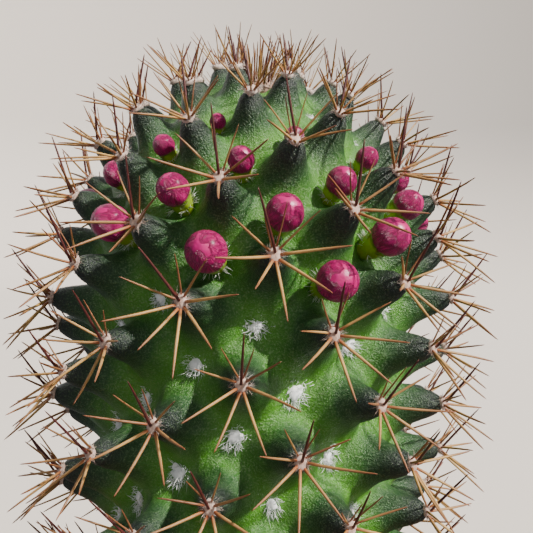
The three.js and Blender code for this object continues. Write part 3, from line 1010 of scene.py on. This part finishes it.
class CACTUS_OT_stage(bpy.types.Operator):
    """Sets the camera, the lights, and a pale floor that curves up into a backdrop"""

    bl_idname = "cactus.stage"
    bl_label = "Stage"
    bl_options = {"REGISTER", "UNDO"}

    def execute(self, context):
        scene = context.scene
        stage = scene.cactus_stage
        self.camera(scene, stage)
        self.lights(scene, stage)
        self.floor(stage, scene.cactus_colours)
        return {"FINISHED"}

    def camera(self, scene, stage):
        data = bpy.data.cameras.new("camera")
        data.sensor_width = 36.0
        data.lens = stage.lens
        data.clip_start = 0.004
        data.clip_end = 20.0
        camera = bpy.data.objects.new("camera", data)
        scene.collection.objects.link(camera)
        pitch, roll = stage.camera_pitch, stage.camera_roll
        right = Vector((1.0, 0.0, 0.0))
        up = Vector((0.0, math.sin(pitch), math.cos(pitch)))
        back = Vector((0.0, -math.cos(pitch), math.sin(pitch)))
        rolled_right = right * math.cos(roll) - up * math.sin(roll)
        rolled_up = right * math.sin(roll) + up * math.cos(roll)
        turn = Matrix((rolled_right, rolled_up, back)).transposed().to_4x4()
        height = RIM_HEIGHT + scene.cactus_stem.shoulder_above_rim + stage.camera_above
        place = Vector((stage.camera_aside, -stage.camera_away, height))
        camera.matrix_world = Matrix.Translation(place) @ turn
        scene.camera = camera

    def lights(self, scene, stage):
        """Three suns, each shining from its own side, and an even light from all round."""
        sunny, soft = (1.0, 0.955, 0.89), (1.0, 0.98, 0.95)
        for name, strength, spread, tint, side in (
            ("key", stage.sun_strength, stage.sun_spread, sunny, (0.82, -0.46, 0.88)),
            ("front", stage.front_strength, stage.front_spread, soft, (0.3, -1.0, 0.6)),
            ("back", stage.back_strength, stage.front_spread, soft, (-0.5, 1.0, 0.5)),
        ):
            data = bpy.data.lights.new(name, "SUN")
            data.energy = strength
            data.angle = spread
            data.color = tint
            light = bpy.data.objects.new(name, data)
            light.rotation_euler = Vector(side).to_track_quat("Z", "Y").to_euler()
            scene.collection.objects.link(light)
        world = bpy.data.worlds.new("soft_light")
        world.use_nodes = True
        sky = world.node_tree.nodes["Background"]
        sky.inputs["Color"].default_value = (0.92, 0.95, 1.0, 1.0)
        sky.inputs["Strength"].default_value = stage.fill_strength
        scene.world = world

    def floor(self, stage, colours):
        """A round floor whose edge bends up, in steps, into a wall."""
        radius, bend, steps = stage.floor_radius, stage.floor_radius * 0.35, 8
        rings = [(radius * 0.1, 0.0), (radius * 0.6, 0.0), (radius, 0.0)]
        for step in range(1, steps + 1):
            turn = math.pi / 2 * step / steps
            rings.append((radius + bend * math.sin(turn), bend * (1 - math.cos(turn))))
        rings.append((radius + bend, stage.wall_height))
        sweep = turned("backdrop", rings, 96, closed=(0.0, None))
        edit_all(sweep, bpy.ops.mesh.flip_normals)
        sweep.data.shade_smooth()
        sweep.data.materials.append(backdrop_material(colours))
        sweep.visible_shadow = False
        sweep.visible_diffuse = False
        sweep.visible_glossy = False


def wall_radius(pot, height):
    """Outer radius of the pot's wall under its band, which widens evenly upwards."""
    slope = (RIM_RADIUS - pot.band_step - pot.foot_radius) / RIM_HEIGHT
    return pot.foot_radius + slope * height


class CACTUS_OT_pot(bpy.types.Operator):
    """Makes the clay pot"""

    bl_idname = "cactus.pot"
    bl_label = "Pot"
    bl_options = {"REGISTER", "UNDO"}

    def execute(self, context):
        scene = context.scene
        pot = scene.cactus_pot
        band = RIM_HEIGHT - pot.band_height
        r = pot.rounding
        nick = 0.3 * r
        wall = wall_radius(pot, band)
        leaning_in = 0.2 * (wall_radius(pot, RIM_HEIGHT) - wall) / pot.band_height
        mouth = wall_radius(pot, RIM_HEIGHT) - pot.wall
        rings = [
            (pot.drain_radius + r, 0.0),
            (pot.foot_radius - r, 0.0),
            (pot.foot_radius - nick, nick),
            *((wall_radius(pot, h), h) for h in np.linspace(r, band - r, 14)),
            (wall, band - 0.2 * r),
            (wall + 0.2 * r, band),
            (wall + pot.band_step - 0.7 * r, band + nick),
            (wall + pot.band_step, band + r + nick),
            (RIM_RADIUS - leaning_in * (pot.band_height - 5 * MM), band + 5 * MM),
            (RIM_RADIUS - leaning_in * 4 * MM, RIM_HEIGHT - 4 * MM),
            (RIM_RADIUS, RIM_HEIGHT - r),
            (RIM_RADIUS - nick, RIM_HEIGHT - nick),
            (RIM_RADIUS - r, RIM_HEIGHT),
            (mouth + r, RIM_HEIGHT),
            (mouth + nick, RIM_HEIGHT - nick),
            *((wall_radius(pot, h) - pot.wall, h) for h in np.linspace(RIM_HEIGHT - r, pot.floor + r, 10)),
            (wall_radius(pot, pot.floor) - pot.wall - r, pot.floor),
            (pot.drain_radius + r, pot.floor),
            (pot.drain_radius, pot.floor - r),
            (pot.drain_radius, r),
            (pot.drain_radius + r, 0.0),
        ]
        piece = turned("clay_pot", rings, 128)
        edit_all(piece, bpy.ops.mesh.remove_doubles, threshold=TINY)
        edit_all(piece, bpy.ops.mesh.normals_make_consistent, inside=False)
        self.unevenness(piece)
        piece.data.shade_smooth()
        piece.data.materials.append(clay_material(scene.cactus_colours))
        dress(piece, ["pot"])
        return {"FINISHED"}

    def unevenness(self, piece):
        """A hand's slight unevenness on the wall, and the tag that the lime bloom follows."""
        bloom = []
        for vertex in piece.data.vertices:
            place = vertex.co.copy()
            if place.z > 2 * MM:
                push = noise.noise(place * 45.0) * 0.18 * MM
                vertex.co += Vector((place.x, place.y, 0.0)).normalized() * (push - 0.2 * MM)
            bloom.append(0.75 * max(0.0, 1.0 - abs(place.z - RIM_HEIGHT * 0.2) / 0.03))
        store(piece.data, "bloom", bloom)


class CACTUS_OT_soil(bpy.types.Operator):
    """Makes the crumbly soil and the grit that lies on it"""

    bl_idname = "cactus.soil"
    bl_label = "Soil"
    bl_options = {"REGISTER", "UNDO"}

    # Left free between the soil and the pot's wall
    GAP = 0.25 * MM

    def execute(self, context):
        scene = context.scene
        pot, stem = scene.cactus_pot, scene.cactus_stem
        top, bottom = soil_height(), pot.floor + 0.3 * MM
        edge = wall_radius(pot, top) - pot.wall - self.GAP
        foot = wall_radius(pot, bottom) - pot.wall - self.GAP
        socket = stem.collar_radius + 0.2 * MM
        rings = [(foot, bottom), (edge, top - 1 * MM)]
        rings += [(radius, top) for radius in np.linspace(edge - 0.2 * MM, socket, 34)]
        rings += [(socket, top - 4 * MM)]
        piece = turned("potting_soil", rings, 128, closed=(bottom, top - 4 * MM))
        for vertex in piece.data.vertices:
            place = vertex.co
            if place.z > top - 0.5 * MM:
                rough = noise.fractal(place * 330.0, 0.8, 2.0, 4)
                swell = noise.noise(place * 70.0)
                near = max(0.0, 1.0 - (place.xy.length - socket) / (9 * MM))
                vertex.co.z += rough * 0.55 * MM + swell * 0.6 * MM + near * 1.0 * MM
        piece.data.shade_smooth()
        piece.data.materials.append(soil_material(scene.cactus_colours))
        dress(piece, ["soil"])
        self.grit(scene, piece, socket, edge)
        return {"FINISHED"}

    def grit(self, scene, ground, socket, edge):
        """Small angular grains, each sunk a little into the soil where a ray finds it."""
        rng = random.Random(41)
        pot = scene.cactus_pot
        surface = surface_of(ground)
        bpy.ops.object.select_all(action="DESELECT")
        bpy.ops.mesh.primitive_ico_sphere_add(subdivisions=1, radius=0.5)
        grain_object = bpy.context.object
        grain = Shape.of(grain_object)
        bpy.data.objects.remove(grain_object, do_unlink=True)
        shapes = []
        for _ in range(pot.grit_count):
            heading = rng.uniform(0.0, 2 * math.pi)
            radius = math.sqrt(rng.uniform((socket + 1 * MM) ** 2, (edge - 1.2 * MM) ** 2))
            hit = surface.ray_cast(level(heading) * radius + UP * RIM_HEIGHT, -UP)[0]
            width = pot.grit_size * rng.uniform(0.3, 1.0) ** 1.5
            jitter = np.array([[rng.uniform(0.75, 1.25) for _ in range(3)] for _ in grain.points])
            rough = grain.on(grain.points * jitter)
            spin = rng.uniform(0.0, WIDEST_SPIN)
            turn = Matrix.Rotation(spin, 3, Vector((rng.random(), rng.random(), 1.0)))
            scale = (width, width * rng.uniform(0.7, 1.0), width * rng.uniform(0.55, 0.85))
            shapes.append(rough.placed(turn, hit + UP * width * 0.12, scale, tone=rng.random()))
        piece = merged(shapes).object("soil_grit", [grit_material(scene.cactus_colours)])
        piece.data.shade_flat()
        dress(piece)


class CACTUS_OT_stem(bpy.types.Operator):
    """Makes the stem: one grown skin over all the tubercles"""

    bl_idname = "cactus.stem"
    bl_label = "Stem"
    bl_options = {"REGISTER", "UNDO"}

    def execute(self, context):
        scene = context.scene
        stem = scene.cactus_stem
        skin = build_stem(stem)
        skin.data.materials.append(skin_material(scene.cactus_colours))
        dress(skin, ["stem"])
        return {"FINISHED"}


class CACTUS_OT_spines(bpy.types.Operator):
    """Makes a spine cluster for each areole"""

    bl_idname = "cactus.spines"
    bl_label = "Spine clusters"
    bl_options = {"REGISTER", "UNDO"}

    AGES = (0.0, 0.35, 0.7, 1.0)
    VARIANTS = 5
    # Areoles from the growing point to the first full-grown cluster
    YOUNG = 42

    def execute(self, context):
        scene = context.scene
        stem, spines, colours = scene.cactus_stem, scene.cactus_spines, scene.cactus_colours
        spine, hair = spine_shape(0), hair_shape(1)
        masters = {}
        for step, age in enumerate(self.AGES):
            for variant in range(self.VARIANTS):
                masters[step, variant] = cluster_shape(spines, 100 * step + variant, age, hair, spine)
        finishes = [spine_material(colours), hair_material("felt", colours.felt, colours.felt_shade)]
        rng = random.Random(7)
        for place in areoles(stem):
            age = min((place.order - FIRST_AREOLE) / self.YOUNG, 1.0)
            step = round(age * (len(self.AGES) - 1))
            master = masters[step, (place.order * 3 + place.order // 5) % self.VARIANTS]
            mirror = rng.choice((-1.0, 1.0))
            spin = Matrix.Rotation(rng.uniform(-0.22, 0.22), 3, "Z")
            width = 0.8 + 0.2 * place.size
            shape = master.placed(place.frame() @ spin, place.tip, (mirror * width, width, width))
            if mirror < 0:
                shape = shape.flipped()
            node = f"spines_{place.order}"
            piece = shape.object(f"spine_cluster_{place.order:03d}", finishes)
            dress(piece, [node] if node in SPINED_NODES else ())
        return {"FINISHED"}


class CACTUS_OT_crown(bpy.types.Operator):
    """Makes the woolly growing point with its youngest spines"""

    bl_idname = "cactus.crown"
    bl_label = "Crown"
    bl_options = {"REGISTER", "UNDO"}

    def execute(self, context):
        scene = context.scene
        spines, colours = scene.cactus_spines, scene.cactus_colours
        rng = random.Random(23)
        hair, spine = hair_shape(1), spine_shape(0)
        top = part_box("crown_wool")[1]
        radius, height = top[0], top[2] - 0.6 * MM
        profile = ((0.5, -6.0), (0.9, -4.8), (0.75, -3.4), (0.45, -2.6))
        rings = [(radius * width, height + rise * MM) for width, rise in profile]
        dome = turned_shape(rings, 20, closed=(height - 6.5 * MM, height - 2.3 * MM), slot=1)
        dome.tags["along"] = np.full(len(dome.points), 0.3)
        shapes = [dome]
        for out, flat in self.spots(spines.crown_hairs, 0.0):
            start = flat * out * 0.8 * radius + UP * (height - (2.8 + 2.2 * out**2) * MM)
            direction = (flat * (0.3 + 0.9 * out) * rng.uniform(0.4, 1.2) + UP).normalized()
            length = rng.uniform(1.6, 3.0) * MM
            shapes.append(pointing_copy(hair, start, direction, length, 0.035 * MM, rng, 0.4))
        for out, flat in self.spots(spines.crown_spines, 0.4):
            start = flat * out * radius + UP * (height - (2.2 + 2.0 * out**2) * MM)
            direction = (flat * (0.15 + 0.6 * out) * rng.uniform(0.5, 1.3) + UP).normalized()
            length = rng.uniform(4.2, 6.6) * MM
            tags = {"dark": float(rng.random() < 0.2), "tone": rng.random()}
            shapes.append(pointing_copy(spine, start, direction, length, 0.13 * MM, rng, 0.05, **tags))
        felt = hair_material("crown_felt", colours.crown_felt, colours.crown_shade)
        finishes = [spine_material(colours), felt]
        piece = merged(shapes).object("crown_tuft", finishes)
        dress(piece, ["crown_wool"])
        return {"FINISHED"}

    def spots(self, total, first_heading):
        """Spots spread evenly over a unit disc: how far out each is, and its level direction."""
        for i in range(total):
            yield math.sqrt((i + 0.5) / total), level(i * GOLDEN_ANGLE + first_heading)


class CACTUS_OT_buds(bpy.types.Operator):
    """Makes the closed flower buds, each at its own node's place"""

    bl_idname = "cactus.buds"
    bl_label = "Buds"
    bl_options = {"REGISTER", "UNDO"}

    # How far a full-grown bud stands out of its node's middle, and how far below it a new one hangs
    RAISE = 0.6 * MM
    SLIP = 3.4 * MM

    def execute(self, context):
        scene = context.scene
        stem, spines, colours = scene.cactus_stem, scene.cactus_spines, scene.cactus_colours
        masters = [bud_shape(seed) for seed in (3, 5, 8, 13)]
        hair = hair_shape(1)
        finishes = [bud_material(colours), hair_material("bud_hair", colours.wool, colours.bud_hair_shade)]
        rng = random.Random(11)
        for order in BUD_ORDERS:
            low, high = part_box(f"bud_{order}")
            normal, uphill = axil(stem, order)[:2]
            grown = bud_growth(spines, order) * Areole(stem, order).size
            radius = spines.bud_radius * grown
            centre = (Vector(low) + Vector(high)) / 2
            centre += normal * self.RAISE * grown - uphill * self.SLIP * (1 - grown)
            spin = Matrix.Rotation(rng.uniform(0.0, WIDEST_SPIN), 3, "Z")
            turn = upright_turn(leaning(normal, spines.bud_lift)) @ spin
            bud = masters[order % len(masters)].placed(turn, centre, (radius,) * 3)
            hairs = self.hairs(spines.bud_hairs, hair, radius, rng)
            fringe = merged(hairs).placed(turn, centre)
            piece = merged([bud, fringe]).object(f"flower_bud_{order}", finishes)
            dress(piece, [f"bud_{order}"])
        return {"FINISHED"}

    def hairs(self, total, hair, radius, rng):
        """Hairs round the foot of a bud of a radius, in the bud's own frame."""
        shapes = []
        for _ in range(total):
            flat = level(rng.uniform(0.0, WIDEST_SPIN))
            start = (flat * 0.72 - UP * 1.45) * radius
            direction = (flat * rng.uniform(0.4, 1.5) + UP * rng.uniform(-0.2, 0.9)).normalized()
            length = rng.uniform(0.6, 1.3) * MM
            shapes.append(pointing_copy(hair, start, direction, length, 0.03 * MM, rng, 0.3))
        return shapes


class CACTUS_OT_wool(bpy.types.Operator):
    """Makes the white hair tufts in the axils that hold no bud"""

    bl_idname = "cactus.wool"
    bl_label = "Axil wool"
    bl_options = {"REGISTER", "UNDO"}

    # How far a full-grown tuft lies below the middle of the two tubercles above it
    DROP = 1.7 * MM
    SHORT_HAIRS = 112
    STRAY_HAIRS = 14
    VARIANTS = 5
    # The youngest axil that shows its wool, and how far past the youngest bud the tufts stay small
    FIRST_ORDER = 30
    SMALL_TUFTS = 8

    def tuft_shape(self, spines, hair, rng):
        """A low cushion of short hair with longer hairs straying out of it."""
        core = turned_shape([(0.8, -0.3), (0.75, 0.0), (0.4, 0.2)], 9, closed=(-0.4, 0.25))
        core.points *= MM
        roughen(core, rng, 0.11 * MM)
        core.tags["along"] = np.full(len(core.points), 0.8)
        length = spines.wool_length
        short = tuft(hair, rng, self.SHORT_HAIRS, length * 0.45, 0.045 * MM, 1.5, 1.2 * MM)
        stray = tuft(hair, rng, self.STRAY_HAIRS, length * 0.8, 0.026 * MM, 1.6, 1.0 * MM)
        return merged([core, *short, *stray])

    def execute(self, context):
        scene = context.scene
        stem, spines, colours = scene.cactus_stem, scene.cactus_spines, scene.cactus_colours
        surface = surface_of(bpy.data.objects["stem_skin"])
        rng = random.Random(5)
        hair = hair_shape(0)
        masters = [self.tuft_shape(spines, hair, rng) for _ in range(self.VARIANTS)]
        shapes = []
        for order in range(self.FIRST_ORDER, stem.last_areole + STEEP_SPIRAL + 1):
            if order in BUD_ORDERS:
                continue
            normal, uphill, middle, scale = axil(stem, order)
            start = middle - uphill * self.DROP * scale + normal * 2 * MM
            hit = surface.ray_cast(start, -normal)[0]
            if hit is None:
                raise RuntimeError(f"no skin was found under the axil of areole {order}")
            grown = 0.6 if order < BUD_ORDERS[0] + self.SMALL_TUFTS else rng.uniform(1.1, 1.5)
            spin = Matrix.Rotation(rng.uniform(0.0, WIDEST_SPIN / 2), 3, "Z")
            stretch = rng.uniform(0.75, 1.4)
            scales = (grown * stretch, grown / stretch, grown)
            shapes.append(rng.choice(masters).placed(upright_turn(normal) @ spin, hit, scales))
        finish = hair_material("axil_hair", colours.wool, colours.wool_shade)
        piece = merged(shapes).object("axil_wool", [finish])
        dress(piece)
        return {"FINISHED"}


OPERATORS = [
    CACTUS_OT_stage,
    CACTUS_OT_pot,
    CACTUS_OT_soil,
    CACTUS_OT_stem,
    CACTUS_OT_spines,
    CACTUS_OT_crown,
    CACTUS_OT_buds,
    CACTUS_OT_wool,
]


class CACTUS_PT_panel(bpy.types.Panel):
    """Lists the pieces of the potted cactus"""

    bl_label = "Potted cactus"
    bl_idname = "CACTUS_PT_panel"
    bl_space_type = "VIEW_3D"
    bl_region_type = "UI"
    bl_category = "Cactus"

    def draw(self, context):
        for operator in OPERATORS:
            self.layout.operator(operator.bl_idname)
        for name in GROUPS:
            box = self.layout.box()
            group = getattr(context.scene, name)
            for prop in group.bl_rna.properties:
                if prop.identifier not in ("rna_type", "name"):
                    box.prop(group, prop.identifier)


def register():
    for cls in [*GROUPS.values(), *OPERATORS, CACTUS_PT_panel]:
        bpy.utils.register_class(cls)
    for name, cls in GROUPS.items():
        setattr(bpy.types.Scene, name, bpy.props.PointerProperty(type=cls))


def unregister():
    for name in GROUPS:
        delattr(bpy.types.Scene, name)
    for cls in reversed([*GROUPS.values(), *OPERATORS, CACTUS_PT_panel]):
        bpy.utils.unregister_class(cls)


def main():
    register()
    for operator in OPERATORS:
        category, name = operator.bl_idname.split(".")
        getattr(getattr(bpy.ops, category), name)()


if __name__ == "__main__":
    main()
